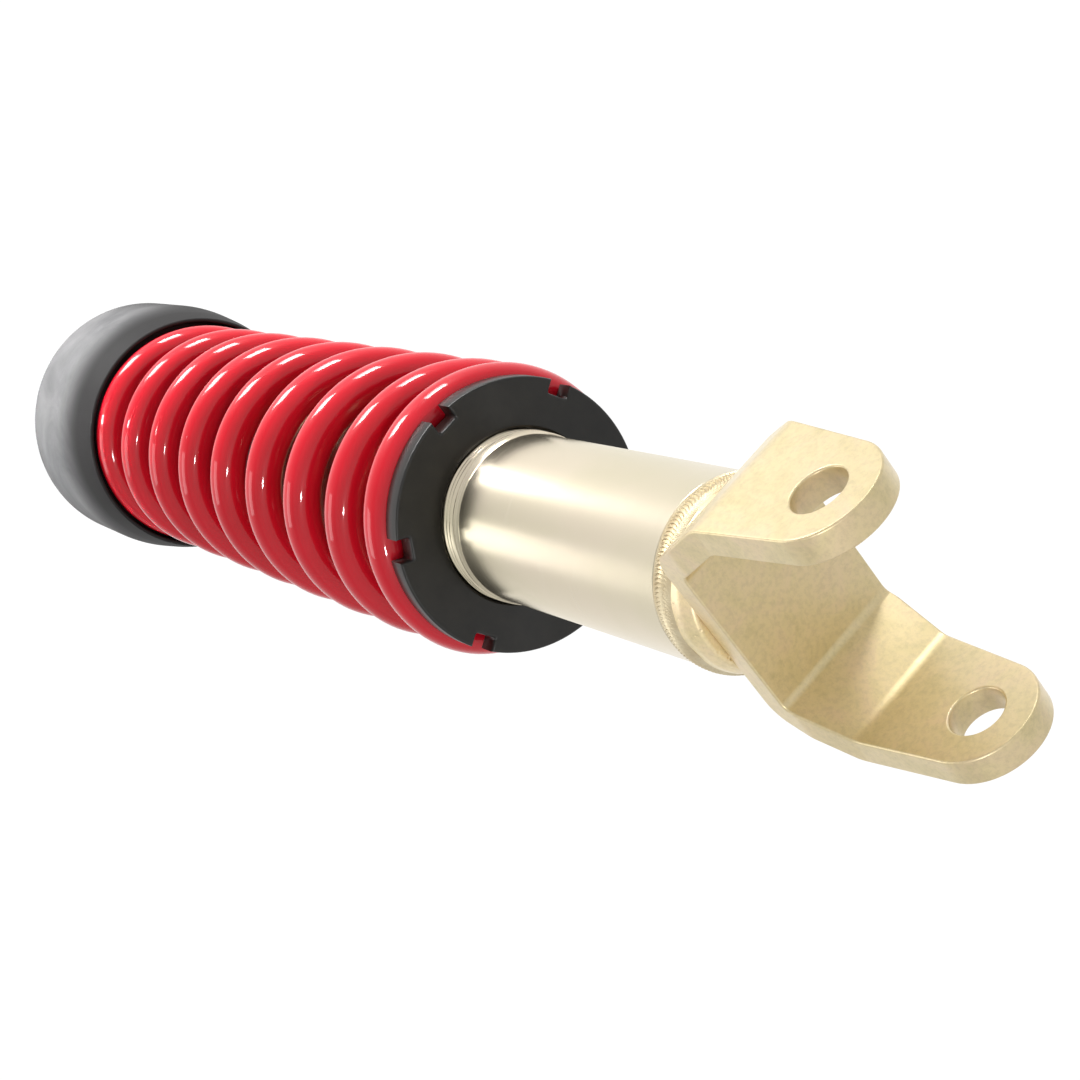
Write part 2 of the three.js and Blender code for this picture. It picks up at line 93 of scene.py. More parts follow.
NOTCH_DEPTH = 4.9 * MM
SCREW_H = 12 * MM
SCREW_HOLE_R = 2.8 * MM
HAT_WALL_R = 36.3 * MM
HAT_R = 39.9 * MM
HAT_BRIM_R = 51.7 * MM
HAT_BRIM_T = 3 * MM
STUD_R = 6.85 * MM
STUD_PITCH = 1.5 * MM


# ---------------------------------------------------------------- mesh making


def polygon_object(name, verts, faces, sharp=35):
    """A smooth-shaded mesh object whose edges steeper than sharp degrees stay sharp."""
    mesh = bpy.data.meshes.new(name)
    mesh.from_pydata([tuple(v) for v in verts], [], faces)
    mesh.validate()
    mesh.shade_smooth()
    mesh.set_sharp_from_angle(angle=math.radians(sharp))
    made = bpy.data.objects.new(name, mesh)
    bpy.context.scene.collection.objects.link(made)
    return made


def place(piece, body, material, nodes=()):
    """Rides a piece on its body and material, and hides the CAD nodes it stands for."""
    piece.data.materials.clear()
    piece.data.materials.append(material)
    if body:
        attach(piece, body)
    if nodes:
        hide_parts(*nodes)
    return piece


def skin(rings, closed=True):
    """Vertices and quads of a tube through rings of equal length, or of a torus when it is closed."""
    count = len(rings[0])
    verts = [p for ring in rings for p in ring]
    faces = []
    last = len(rings) if closed else len(rings) - 1
    for i in range(last):
        here = i * count
        there = ((i + 1) % len(rings)) * count
        for k in range(count):
            n = (k + 1) % count
            faces.append((here + k, here + n, there + n, there + k))
    return verts, faces


def circle(radius, z, segments):
    """Ring of points about Z. radius may be a function of the angle."""
    ring = []
    for k in range(segments):
        a = TAU * k / segments
        r = radius(a) if callable(radius) else radius
        ring.append((r * math.cos(a), r * math.sin(a), z))
    return ring


def rounded(points, radius, steps=4):
    """A closed [r, z] outline with every corner rounded. Each point may carry its own radius."""
    out = []
    count = len(points)
    for i, point in enumerate(points):
        here = Vector(point[:2])
        corner = point[2] if len(point) > 2 else radius
        back = Vector(points[i - 1][:2]) - here
        ahead = Vector(points[(i + 1) % count][:2]) - here
        half = back.angle(ahead) / 2
        reach = min(corner / math.tan(half), 0.48 * back.length, 0.48 * ahead.length)
        if reach < 1e-6:
            out.append(tuple(here))
            continue
        start = here + back.normalized() * reach
        end = here + ahead.normalized() * reach
        real = reach * math.tan(half)
        centre = here + (back.normalized() + ahead.normalized()).normalized() * (real / math.sin(half))
        a0 = math.atan2(start.y - centre.y, start.x - centre.x)
        turn = (math.atan2(end.y - centre.y, end.x - centre.x) - a0 + math.pi) % TAU - math.pi
        for k in range(steps + 1):
            a = a0 + turn * k / steps
            out.append((centre.x + real * math.cos(a), centre.y + real * math.sin(a)))
    return out


def turned(name, outline, radius=0.4 * MM, segments=128, steps=4):
    """A ring turned about Z from a closed [r, z] outline, listed anticlockwise."""
    profile = rounded(outline, radius, steps)
    rings = [circle(r, z, segments) for r, z in profile]
    return polygon_object(name, *skin(rings[::-1]))


def boolean(target, tool, operation):
    modifier = target.modifiers.new("cut", "BOOLEAN")
    modifier.operation = operation
    modifier.solver = "EXACT"
    modifier.object = tool
    apply_modifiers(target)
    bpy.data.objects.remove(tool)


def apply_modifiers(piece):
    depsgraph = bpy.context.evaluated_depsgraph_get()
    mesh = bpy.data.meshes.new_from_object(piece.evaluated_get(depsgraph))
    piece.modifiers.clear()
    piece.data = mesh


def extruded(name, outline, axis, depth):
    """A prism: the outline's two coordinates fill the axes other than axis, in X, Y, Z order."""
    others = [k for k in range(3) if k != axis]
    rings = []
    for side in (-depth / 2, depth / 2):
        ring = []
        for u, v in outline:
            point = [0.0, 0.0, 0.0]
            point[axis] = side
            point[others[0]] = u
            point[others[1]] = v
            ring.append(tuple(point))
        rings.append(ring)
    count = len(outline)
    verts, faces = skin(rings, closed=False)
    faces.append(tuple(range(count))[::-1])
    faces.append(tuple(range(count, 2 * count)))
    made = polygon_object(name, verts, faces)
    outward(made)
    return made


def outward(piece):
    """Turns the faces out."""
    work = bmesh.new()
    work.from_mesh(piece.data)
    bmesh.ops.recalc_face_normals(work, faces=work.faces)
    work.to_mesh(piece.data)
    work.free()


# ---------------------------------------------------------------- materials


class Paint:
    """A procedural material, with short names for the nodes that it uses."""

    def __init__(self, name, color, roughness, metallic=0.0, **sockets):
        self.material = bpy.data.materials.new(name)
        self.material.use_nodes = True
        self.tree = self.material.node_tree
        self.shader = self.tree.nodes["Principled BSDF"]
        self.shader.inputs["Base Color"].default_value = (*color, 1)
        self.shader.inputs["Roughness"].default_value = roughness
        self.shader.inputs["Metallic"].default_value = metallic
        for socket, value in sockets.items():
            self.shader.inputs[socket.replace("_", " ")].default_value = value
        self.height = None

    def node(self, kind, **settings):
        made = self.tree.nodes.new(kind)
        for key, value in settings.items():
            setattr(made, key, value)
        return made

    def link(self, source, target):
        self.tree.links.new(source, target)

    def coords(self, scale=(1, 1, 1)):
        """Object coordinates in metres, stretched by scale."""
        mapping = self.node("ShaderNodeMapping")
        mapping.inputs["Scale"].default_value = scale
        self.link(self.node("ShaderNodeTexCoord").outputs["Object"], mapping.inputs["Vector"])
        return mapping.outputs["Vector"]

    def noise(self, scale, detail=4.0, rough=0.55, stretch=(1, 1, 1), distortion=0.0):
        """Noise with about scale bumps a metre."""
        made = self.node("ShaderNodeTexNoise")
        made.inputs["Scale"].default_value = scale
        made.inputs["Detail"].default_value = detail
        made.inputs["Roughness"].default_value = rough
        made.inputs["Distortion"].default_value = distortion
        self.link(self.coords(stretch), made.inputs["Vector"])
        return made.outputs["Fac"]

    def along_z(self, start, end):
        """Rises smoothly from 0 to 1 between two heights."""
        split = self.node("ShaderNodeSeparateXYZ")
        self.link(self.coords(), split.inputs["Vector"])
        return self.rise(split.outputs["Z"], start, end)

    def rise(self, value, start, end):
        made = self.node("ShaderNodeMapRange", interpolation_type="SMOOTHSTEP")
        made.inputs["From Min"].default_value = start
        made.inputs["From Max"].default_value = end
        self.link(value, made.inputs["Value"])
        return made.outputs["Result"]

    def ramp(self, value, *stops):
        """Colour ramp with (position, colour or grey) stops."""
        made = self.node("ShaderNodeValToRGB")
        elements = made.color_ramp.elements
        while len(elements) < len(stops):
            elements.new(0.5)
        for element, (position, shade) in zip(elements, stops):
            element.position = position
            element.color = (*shade, 1) if isinstance(shade, tuple) else (shade, shade, shade, 1)
        self.link(value, made.inputs["Fac"])
        return made.outputs["Color"]

    def mix(self, factor, a, b, blend="MIX"):
        made = self.node("ShaderNodeMix", data_type="RGBA", blend_type=blend)
        for socket, value in (("Factor", factor), ("A", a), ("B", b)):
            target = [s for s in made.inputs if s.name == socket and s.enabled][0]
            if isinstance(value, bpy.types.NodeSocket):
                self.link(value, target)
            else:
                target.default_value = (*value, 1) if isinstance(value, tuple) else value
        return [s for s in made.outputs if s.enabled][0]

    def color(self, value):
        self.link(value, self.shader.inputs["Base Color"])
        return self

    def roughness(self, value, low, high):
        spread = self.node("ShaderNodeMapRange")
        spread.inputs["To Min"].default_value = low
        spread.inputs["To Max"].default_value = high
        self.link(value, spread.inputs["Value"])
        self.link(spread.outputs["Result"], self.shader.inputs["Roughness"])
        return self

    def bump(self, value, distance, strength=1.0):
        """Adds a bump of that depth in metres on top of any bump before it."""
        made = self.node("ShaderNodeBump")
        made.inputs["Distance"].default_value = distance
        made.inputs["Strength"].default_value = strength
        self.link(value, made.inputs["Height"])
        if self.height is not None:
            self.link(self.height, made.inputs["Normal"])
        self.height = made.outputs["Normal"]
        self.link(self.height, self.shader.inputs["Normal"])
        return self


def zinc_paint(name, pits):
    """Yellow zinc plate on formed steel: warm, with faint pink and olive clouds and a fine grain."""
    metallic, gain = (0.55, 1.15) if pits else (0.75, 1.0)
    paint = Paint(name, (0.74, 0.62, 0.35), 0.42, metallic, Coat_Weight=0.7, Coat_Roughness=0.3)
    shades = ((0.73, 0.61, 0.33), (0.80, 0.66, 0.38), (0.82, 0.65, 0.41))
    shades = [tuple(gain * c for c in shade) for shade in shades]
    clouds = paint.noise(70, 6, 0.66, distortion=0.6)
    tint = paint.ramp(clouds, *zip((0.34, 0.5, 0.68), shades))
    freckle = paint.ramp(paint.noise(650, 4, 0.7), (0.36, 0.84), (0.56, 1.0))
    paint.color(paint.mix(0.7, tint, freckle, "MULTIPLY"))
    paint.roughness(paint.noise(160, 5), 0.34, 0.52)
    paint.bump(paint.noise(1500, 3, 0.6), 0.03 * MM, 0.5)
    paint.bump(paint.noise(110, 4), 0.12 * MM, 0.3)
    if pits:
        holes = paint.node("ShaderNodeTexVoronoi")
        holes.inputs["Scale"].default_value = 420
        paint.link(paint.coords(), holes.inputs["Vector"])
        pit = paint.ramp(holes.outputs["Distance"], (0.10, 0.0), (0.22, 1.0))
        paint.bump(pit, 0.22 * MM, 0.6)
    return paint.material


def weld_paint():
    """Yellow zinc over weld metal, in random clouds from a browner film to brighter metal."""
    paint = Paint("weld_zinc", (0.74, 0.63, 0.44), 0.46, 0.8)
    film = paint.noise(120, 4, 0.6)
    paint.color(paint.ramp(film, (0.35, (0.66, 0.54, 0.34)), (0.62, (0.78, 0.68, 0.47))))
    paint.bump(paint.noise(1400, 3, 0.6), 0.03 * MM, 0.4)
    return paint.material


def tube_paint():
    """Pale yellow zinc over a turned tube, with fine rings, and painted shade darkening the upper thread
    and the tube above it, inside the spring.
    """
    paint = Paint("tube_zinc", (0.86, 0.77, 0.58), 0.25, 1.0)
    bands = paint.noise(16, 4, 0.5, stretch=(1, 1, 0.6), distortion=0.6)
    shades = ((0.75, 0.68, 0.50), (0.80, 0.71, 0.55), (0.81, 0.70, 0.56))
    plating = paint.ramp(bands, *zip((0.36, 0.52, 0.68), shades))
    # painted shade: dark brown on the tube from 36 to 50 mm above the thread's start upward, where it
    # stands inside the spring
    painted_spring_shade = paint.along_z(THREAD_Z0 + 36 * MM, THREAD_Z0 + 50 * MM)
    paint.color(paint.mix(painted_spring_shade, plating, (0.14, 0.11, 0.07)))
    rings = paint.noise(55, 6, 0.75, stretch=(0.25, 0.25, 40))
    paint.roughness(rings, 0.18, 0.32)
    paint.bump(rings, 0.02 * MM, 0.5)
    return paint.material


def collar_paint():
    """Black anodised aluminium, with turning marks round the face and a radial sheen."""
    gloss = {"Anisotropic": 0.8, "Specular_IOR_Level": 0.6}
    paint = Paint("black_anodised", (0.010, 0.009, 0.008), 0.34, 0.2, **gloss)
    tangent = paint.node("ShaderNodeTangent", direction_type="RADIAL", axis="Z")
    paint.link(tangent.outputs["Tangent"], paint.shader.inputs["Tangent"])
    wear = paint.noise(140, 4, 0.6)
    paint.color(paint.ramp(wear, (0.3, (0.008, 0.0075, 0.0065)), (0.7, (0.015, 0.0135, 0.0115))))
    paint.roughness(paint.noise(260, 4), 0.28, 0.42)
    return paint.material


def red_paint():
    """Gloss red powder coat with a faint orange peel."""
    gloss = {"Coat_Weight": 0.8, "Coat_Roughness": 0.05, "Specular_IOR_Level": 0.1}
    paint = Paint("red_coat", (0.50, 0.005, 0.014), 0.35, **gloss)
    paint.color(paint.ramp(paint.noise(25, 3), (0.3, (0.52, 0.004, 0.014)), (0.7, (0.60, 0.006, 0.020))))
    paint.bump(paint.noise(420, 2, 0.4), 0.05 * MM, 0.22)
    return paint.material


def rubber_paint(name):
    """Moulded black rubber with a faint grey bloom."""
    paint = Paint(name, (0.02, 0.02, 0.02), 0.5)
    bloom = paint.noise(34, 6, 0.62, distortion=0.3)
    paint.color(paint.ramp(bloom, (0.35, (0.014, 0.014, 0.014)), (0.72, (0.03, 0.03, 0.029))))
    paint.roughness(paint.noise(50, 5, 0.6), 0.38, 0.62)
    paint.bump(paint.noise(700, 3, 0.6), 0.05 * MM, 0.4)
    return paint.material


def painted_light_isolator_paint():
    """Black rubber with a grey mottled bloom; painted light makes the wall lighter grey on its side towards
    (-0.8, 0.6), and painted shade keeps it near black on the lip and the far side.
    """
    paint = Paint("isolator_rubber", (0.05, 0.05, 0.05), 0.6, Specular_IOR_Level=0.2)
    lip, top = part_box("upper_isolator")
    # painted shade: near black on the lip, fading to the lit colour between 13 and 40 mm above it
    above = paint.along_z(lip.z + 13 * MM, lip.z + 40 * MM)
    # painted light: lighter on the side of the wall towards (-0.8, 0.6), where the lamps fall
    side = paint.node("ShaderNodeVectorMath", operation="DOT_PRODUCT")
    side.inputs[1].default_value = (-0.80, 0.60, 0)
    paint.link(paint.coords(), side.inputs[0])
    painted_lit_side = paint.rise(side.outputs["Value"], 0.05 * top.x, 0.75 * top.x)
    both = paint.node("ShaderNodeMath", operation="MULTIPLY")
    paint.link(above, both.inputs[0])
    paint.link(painted_lit_side, both.inputs[1])
    clouds = paint.noise(26, 7, 0.66, distortion=0.5)
    # grey mottling of the painted lit side, partly real bloom on the rubber
    dust_and_painted_light = paint.ramp(clouds, (0.34, (0.12, 0.12, 0.123)), (0.66, (0.21, 0.208, 0.21)))
    paint.color(paint.mix(both.outputs["Value"], (0.016, 0.015, 0.015), dust_and_painted_light))
    paint.bump(paint.noise(700, 3, 0.6), 0.05 * MM, 0.4)
    return paint.material


def steel_paint(name, color, low, high, metallic=1.0):
    """Machined or coated steel with fine marks."""
    paint = Paint(name, color, low, metallic)
    marks = paint.noise(240, 5, 0.65)
    darker = tuple(0.82 * c for c in color)
    paint.color(paint.ramp(marks, (0.35, darker), (0.6, color)))
    paint.roughness(paint.noise(130, 5), low, high)
    paint.bump(paint.noise(900, 3), 0.02 * MM, 0.4)
    return paint.material


def foam_paint():
    """Microcellular urethane: matt yellow with tiny cells."""
    paint = Paint("bump_urethane", (0.62, 0.48, 0.13), 0.75)
    paint.color(paint.ramp(paint.noise(60, 5), (0.35, (0.52, 0.39, 0.10)), (0.65, (0.68, 0.53, 0.16))))
    paint.bump(paint.noise(2200, 3, 0.7), 0.10 * MM, 0.5)
    return paint.material


def plastic_paint():
    paint = Paint("black_plastic", (0.02, 0.02, 0.021), 0.42)
    paint.color(paint.ramp(paint.noise(70, 4), (0.35, (0.016, 0.016, 0.017)), (0.7, (0.028, 0.028, 0.029))))
    paint.roughness(paint.noise(180, 4), 0.34, 0.5)
    paint.bump(paint.noise(1300, 2), 0.03 * MM, 0.4)
    return paint.material


PAINTS = {
    "yellow_zinc": zinc_paint("yellow_zinc", pits=False),
    "pitted_zinc": zinc_paint("pitted_zinc", pits=True),
    "weld_zinc": weld_paint(),
    "tube_zinc": tube_paint(),
    "black_anodised": collar_paint(),
    "red_coat": red_paint(),
    "steel": steel_paint("steel", (0.60, 0.60, 0.59), 0.22, 0.40),
    "black_steel": steel_paint("black_steel", (0.03, 0.03, 0.032), 0.35, 0.5, 0.3),
    "chrome_rod": steel_paint("chrome_rod", (0.80, 0.81, 0.82), 0.05, 0.12),
    "rubber": rubber_paint("rubber"),
    "isolator_rubber": painted_light_isolator_paint(),
    "bump_urethane": foam_paint(),
    "black_plastic": plastic_paint(),
}


# ---------------------------------------------------------------- spring


def coil_height(turns, low, rise):
    """Height of the wire's centre: level over each closed end, climbing evenly between."""
    ease = 0.08

    def ramp(x):
        if x <= -ease:
            return 0.0
        return x if x >= ease else (x + ease) ** 2 / (4 * ease)

    climbed = ramp(turns - CLOSED_TURNS) - ramp(turns - CLOSED_TURNS - ACTIVE_TURNS)
    return low + rise * climbed / ACTIVE_TURNS


def spring_stations(total, length):
    """(share of the length, wire radius) of each section, with a rounded edge at both cut ends."""
    per_turn = 96
    count = round(total * per_turn)
    edge = 1.6 * MM
    steps = 6
    end = []
    for k in range(steps):
        a = k * math.pi / (2 * steps)
        end.append((edge * (1 - math.cos(a)) / length, WIRE_R - edge * (1 - math.sin(a))))
    middle = [(i / count, WIRE_R) for i in range(1, count)]
    return end + middle + [(1 - share, r) for share, r in end[::-1]]


def make_spring():
    low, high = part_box("coil_spring")
    z0 = low.z + WIRE_R
    rise = high.z - low.z - 2 * WIRE_R
    total = ACTIVE_TURNS + 2 * CLOSED_TURNS
    sides = 28
    step = 1e-3
    rings = []
    weights = []
    for share, radius in spring_stations(total, TAU * COIL_R * total):
        turns = share * total
        a = COIL_START - TAU * turns
        z = coil_height(turns, z0, rise)
        slope = (coil_height(turns + step, z0, rise) - coil_height(turns - step, z0, rise)) / (2 * step)
        out = Vector((math.cos(a), math.sin(a), 0))
        run = TAU * COIL_R
        along = Vector((run * math.sin(a), -run * math.cos(a), slope)).normalized()
        up = along.cross(out).normalized()
        centre = COIL_R * out + Vector((0, 0, z))
        ring = []
        for k in range(sides):
            p = TAU * k / sides
            ring.append(centre + radius * (math.cos(p) * out + math.sin(p) * up))
        rings.append(ring)
        weights += [(z - z0) / rise] * sides
    verts, faces = skin(rings, closed=False)
    faces.append(tuple(range(sides))[::-1])
    faces.append(tuple(range(len(verts) - sides, len(verts))))
    spring = polygon_object("spring_coil", verts, faces, 50)
    outward(spring)
    place(spring, None, PAINTS["red_coat"], ["coil_spring"])
    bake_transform(spring)


# ---------------------------------------------------------------- lower end


def round_corners(points, radii, steps):
    """An open outline, first and last points kept, with each inner corner rounded."""
    out = [points[0]]
    for i in range(1, len(points) - 1):
        here = Vector(points[i])
        back = (Vector(points[i - 1]) - here).normalized()
        ahead = (Vector(points[i + 1]) - here).normalized()
        half = back.angle(ahead) / 2
        reach = radii[i] / math.tan(half)
        centre = here + (back + ahead).normalized() * (radii[i] / math.sin(half))
        start = here + back * reach
        end = here + ahead * reach
        a0 = math.atan2(start.y - centre.y, start.x - centre.x)
        turn = (math.atan2(end.y - centre.y, end.x - centre.x) - a0 + math.pi) % TAU - math.pi
        for k in range(steps + 1):
            a = a0 + turn * k / steps
            out.append((centre.x + radii[i] * math.cos(a), centre.y + radii[i] * math.sin(a)))
    out.append(points[-1])
    return out


def clevis_section(low, high):
    """The bent strap seen from the side: web, flared roots and parallel ears."""
    ear_x = high.x - STRAP_T
    web_z = high.z - STRAP_T
    flare = math.atan2(ear_x - WEB_X, web_z - CREASE_Z)
    out_crease = CREASE_Z + STRAP_T * math.tan(flare / 2)
    corner_x = WEB_X + STRAP_T * math.tan((math.pi / 2 - flare) / 2)
    tip = low.z - 3 * MM
    inner = [
        (-ear_x, tip), (-ear_x, CREASE_Z), (-WEB_X, web_z),
        (WEB_X, web_z), (ear_x, CREASE_Z), (ear_x, tip),
    ]
    outer = [
        (high.x, tip), (high.x, out_crease), (corner_x, high.z),
        (-corner_x, high.z), (-high.x, out_crease), (-high.x, tip),
    ]
    inside = [0, 8 * MM, 3 * MM, 3 * MM, 8 * MM, 0]
    outside = [0, 12 * MM, 9 * MM, 9 * MM, 12 * MM, 0]
    return round_corners(inner, inside, 10) + round_corners(outer, outside, 12)


def clevis_outline(high):
    """The strap seen along the bolt: round ear ends below, and flanks that widen to the web."""
    web_half = high.y
    web_z = high.z - STRAP_T
    lean = math.asin((EAR_ROOT_HALF - EAR_END_R) / CREASE_Z)
    steps = 40
    end = [math.pi + lean + (math.pi - 2 * lean) * k / steps for k in range(steps + 1)]
    top = high.z + 2 * MM
    # the flank bends below the web, clear of the bevel along the web's edge
    bend_z = web_z - 3.2 * MM
    left = [(-web_half, top), (-web_half, bend_z), (-EAR_ROOT_HALF, CREASE_Z)]
    bottom = [(EAR_END_R * math.cos(a), EAR_END_R * math.sin(a)) for a in end]
    softened = round_corners([*left, bottom[0]], [0, 14 * MM, 10 * MM, 0], 6)[:-1]
    return softened + bottom + [(-y, z) for y, z in softened[::-1]]


def make_clevis():
    low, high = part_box("lower_clevis")
    clevis = extruded("clevis", clevis_section(low, high), 1, 2 * high.y + 10 * MM)
    through = 2 * high.x + 20 * MM
    boolean(clevis, extruded("outline_tool", clevis_outline(high), 0, through), "INTERSECT")
    hole = [(y, z) for y, z, _ in circle(BOLT_R, 0, 72)]
    boolean(clevis, extruded("bolt_tool", hole, 0, through), "DIFFERENCE")
    bevel = clevis.modifiers.new("edges", "BEVEL")
    bevel.width = 0.7 * MM
    bevel.segments = 3
    bevel.limit_method = "ANGLE"
    bevel.angle_limit = math.radians(45)
    bevel.use_clamp_overlap = False
    apply_modifiers(clevis)
    clevis.data.shade_smooth()
    clevis.data.set_sharp_from_angle(angle=math.radians(32))
    flats = clevis.modifiers.new("flats", "WEIGHTED_NORMAL")
    flats.weight = 100
    flats.keep_sharp = True
    apply_modifiers(clevis)
    place(clevis, "strut_body", PAINTS["yellow_zinc"], ["lower_clevis"])


def make_end_plug():
    """The boss under the bead, swollen and uneven where the weld metal ran."""
    low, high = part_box("end_plug")
    flank = high.x - PLUG_SPIGOT_R
    middle = 0.4 * MM
    outline = [
        (middle, low.z), (PLUG_FOOT_R, low.z, 1.5 * MM), (high.x - 0.4 * MM, low.z + PLUG_FOOT_H, 6 * MM),
        (high.x, GROOVE_Z0), (PLUG_SPIGOT_R, GROOVE_Z0 + flank),
        (PLUG_SPIGOT_R, high.z, 1.5 * MM), (middle, high.z),
    ]
    plug = turned("end_boss", outline, 0.3 * MM, 200, 12)
    for vertex in plug.data.vertices:
        x, y, z = vertex.co
        if math.hypot(x, y) > 18.5 * MM and z < GROOVE_Z0 + 0.1 * MM:
            swell = noise.noise(Vector((x, y, z)) * 110) * 0.4 * MM
            vertex.co += Vector((x, y, 0)).normalized() * min(swell, 0.2 * MM)
    place(plug, "strut_body", PAINTS["pitted_zinc"], ["end_plug"])


def make_weld():
    """A nearly flush bead laid in overlapping puddles: each ripple is a crescent behind the torch."""
    low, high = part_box("clevis_weld")
    mid = (low.z + high.z) / 2 + 0.1 * MM
    half = (high.z - low.z) / 2 + 0.7 * MM
    sunk = 0.15 * MM
    plug_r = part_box("end_plug")[1].x - sunk
    tube_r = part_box("end_cap")[1].x - sunk
    crown = high.x - (plug_r + tube_r) / 2
    ripples = 146
    ripple_depth = 0.48 * MM
    per_ripple = 8
    around = ripples * per_ripple
    across = 20
    rings = []
    for k in range(across + 1):
        t = -1 + 2 * k / across
        base = plug_r + (tube_r - plug_r) * (t + 1) / 2
        arch = 1 - abs(t) ** 2.3
        ring = []
        for i in range(around):
            a = TAU * i / around
            wander = noise.noise(Vector((math.cos(a) * 3, math.sin(a) * 3, 0.5)))
            phase = (i / per_ripple + 3.0 * t * t + 0.5 * wander) % 1.0
            scallop = ripple_depth * ((1 - phase) ** 1.4 - 1)
            r = base + (crown + scallop) * arch
            z = mid + t * half * (1 + 0.06 * wander) + 0.3 * MM * wander
            ring.append((r * math.cos(a), r * math.sin(a), z))
        rings.append(ring)
    root = plug_r - 1 * MM
    rings += [circle(root, mid + half * 0.5, around), circle(root, mid - half * 0.5, around)]
    bead = polygon_object("weld_bead", *skin(rings), 60)
    outward(bead)
    place(bead, "strut_body", PAINTS["weld_zinc"], ["clevis_weld"])


# ---------------------------------------------------------------- tube and collar


def thread_depth(phase):
    """Depth share of a rounded 60-degree thread at phase 0..1 along its pitch."""
    flank = abs(phase - 0.5) * 2
    return min(max((flank - 0.14) / 0.72, 0.0), 1.0)


def thread_rings(radius, depth, pitch, z0, z1, segments):
    """Rings of a right-hand thread that fades out over one pitch at each end."""
    per_pitch = 8
    count = round((z1 - z0) / pitch * per_pitch)
    rings = []
    for k in range(count + 1):
        z = z0 + (z1 - z0) * k / count
        fade = min(1.0, (z - z0) / pitch, (z1 - z) / pitch)
        ring = []
        for i in range(segments):
            a = TAU * i / segments
            phase = (z / pitch - a / TAU) % 1.0
            r = radius - depth * (1 - fade) - depth * fade * thread_depth(phase)
            ring.append((r * math.cos(a), r * math.sin(a), z))
        rings.append(ring)
    return rings


def make_tube():
    low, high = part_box("body_tube")
    tube_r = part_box("end_cap")[1].x
    segments = 144
    thread_r = tube_r + THREAD_DEPTH
    foot = low.z + TUBE_BEVEL
    below = [
        (TUBE_BORE_R, low.z), (tube_r - 0.3 * MM, foot - 0.3 * MM), (tube_r, foot + 0.3 * MM),
        (tube_r, THREAD_Z0 - 1.2 * MM), (tube_r + 0.1 * MM, THREAD_Z0 - 0.9 * MM),
        (thread_r - 0.15 * MM, THREAD_Z0),
    ]
    above = [
        (tube_r, THREAD_Z1 + 1 * MM), (tube_r, high.z - 1.6 * MM), (tube_r - 0.9 * MM, high.z),
        (TUBE_BORE_R, high.z),
    ]
    rings = [circle(r, z, segments) for r, z in below]
    first = THREAD_Z0 + 0.4 * MM
    rings += thread_rings(thread_r, 0.9 * MM, THREAD_PITCH, first, THREAD_Z1, segments)
    rings += [circle(r, z, segments) for r, z in above]
    tube = polygon_object("strut_tube", *skin(rings), 25)
    outward(tube)
    place(tube, "strut_body", PAINTS["tube_zinc"], ["body_tube"])


def notched(flange_r, inset):
    """Outline of the flange, moved in by inset, with its spanner notches."""
    points = []
    r = flange_r - inset
    half = NOTCH_W / 2 + inset
    floor = flange_r - NOTCH_DEPTH - inset
    corner = 1.0 * MM
    steps = 5
    bend = [math.pi / 2 * k / steps for k in range(steps + 1)]
    lip = math.asin(half / r)
    span = TAU / NOTCHES - 2 * lip
    for i in range(NOTCHES):
        a = TAU * i / NOTCHES
        turn = Matrix.Rotation(a, 2)
        side = [(math.sqrt(r * r - half * half), -half)]
        side += [(floor + corner * (1 - math.sin(b)), -half + corner * (1 - math.cos(b))) for b in bend]
        for x, y in side + [(x, -y) for x, y in side[::-1]]:
            points.append(turn @ Vector((x, y)))
        count = 22
        for k in range(1, count):
            b = a + lip + span * k / count
            points.append(Vector((r * math.cos(b), r * math.sin(b))))
    return points


def collar_angles(count):
    """Angles of the round rings, count to a notch's share, crowded beside the notches."""
    beside = 14
    spread = math.radians(10)
    rest = count - beside
    plain = TAU / NOTCHES - 2 * spread
    angles = []
    for i in range(NOTCHES):
        start = TAU * i / NOTCHES - spread
        angles += [start + 2 * spread * k / (beside - 1) for k in range(beside)]
        angles += [start + 2 * spread + plain * (k + 1) / (rest + 1) for k in range(rest)]
    return angles


def make_collar():
    low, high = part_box("adjuster_collar")
    flange_r = high.y
    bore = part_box("body_tube")[1].x + GAP
    top = low.z + FLANGE_T
    edge = 0.9 * MM
    angles = collar_angles(len(notched(flange_r, 0)) // NOTCHES)

    def round_ring(r, z):
        return [(r * math.cos(a), r * math.sin(a), z) for a in angles]

    def flat_ring(inset, z):
        return [(p.x, p.y, z) for p in notched(flange_r, inset)]

    quarter = [math.pi / 2 * k / 4 for k in range(5)]
    bottom_edge = [(edge * (1 - math.sin(q)), low.z + edge * (1 - math.cos(q))) for q in quarter]
    top_edge = [(edge * (1 - math.cos(q)), top - edge * (1 - math.sin(q))) for q in quarter]
    rings = [round_ring(bore + edge, low.z), round_ring(33 * MM, low.z)]
    rings += [flat_ring(edge + 0.25 * MM, low.z)]
    rings += [flat_ring(inset, z) for inset, z in bottom_edge + top_edge]
    rings += [flat_ring(edge + 0.25 * MM, top)]
    rings += [round_ring(HUB_R + 0.8 * MM, top), round_ring(HUB_R, top + 0.8 * MM)]
    rings += [round_ring(HUB_R, high.z - 1.5 * MM), round_ring(HUB_R - 1.5 * MM, high.z)]
    rings += [round_ring(bore + 0.8 * MM, high.z), round_ring(bore, high.z - 0.8 * MM)]
    rings += [round_ring(bore, low.z + edge)]
    collar = polygon_object("collar_ring", *skin(rings), 30)
    outward(collar)
    drill = extruded("screw_tool", [(x, z) for x, z, _ in circle(SCREW_HOLE_R, 0, 32)], 1, 12 * MM)
    drill.data.transform(Matrix.Translation((0, HUB_R, top + SCREW_H)))
    boolean(collar, drill, "DIFFERENCE")
    place(collar, "collar", PAINTS["black_anodised"], ["adjuster_collar"])


# ---------------------------------------------------------------- upper end


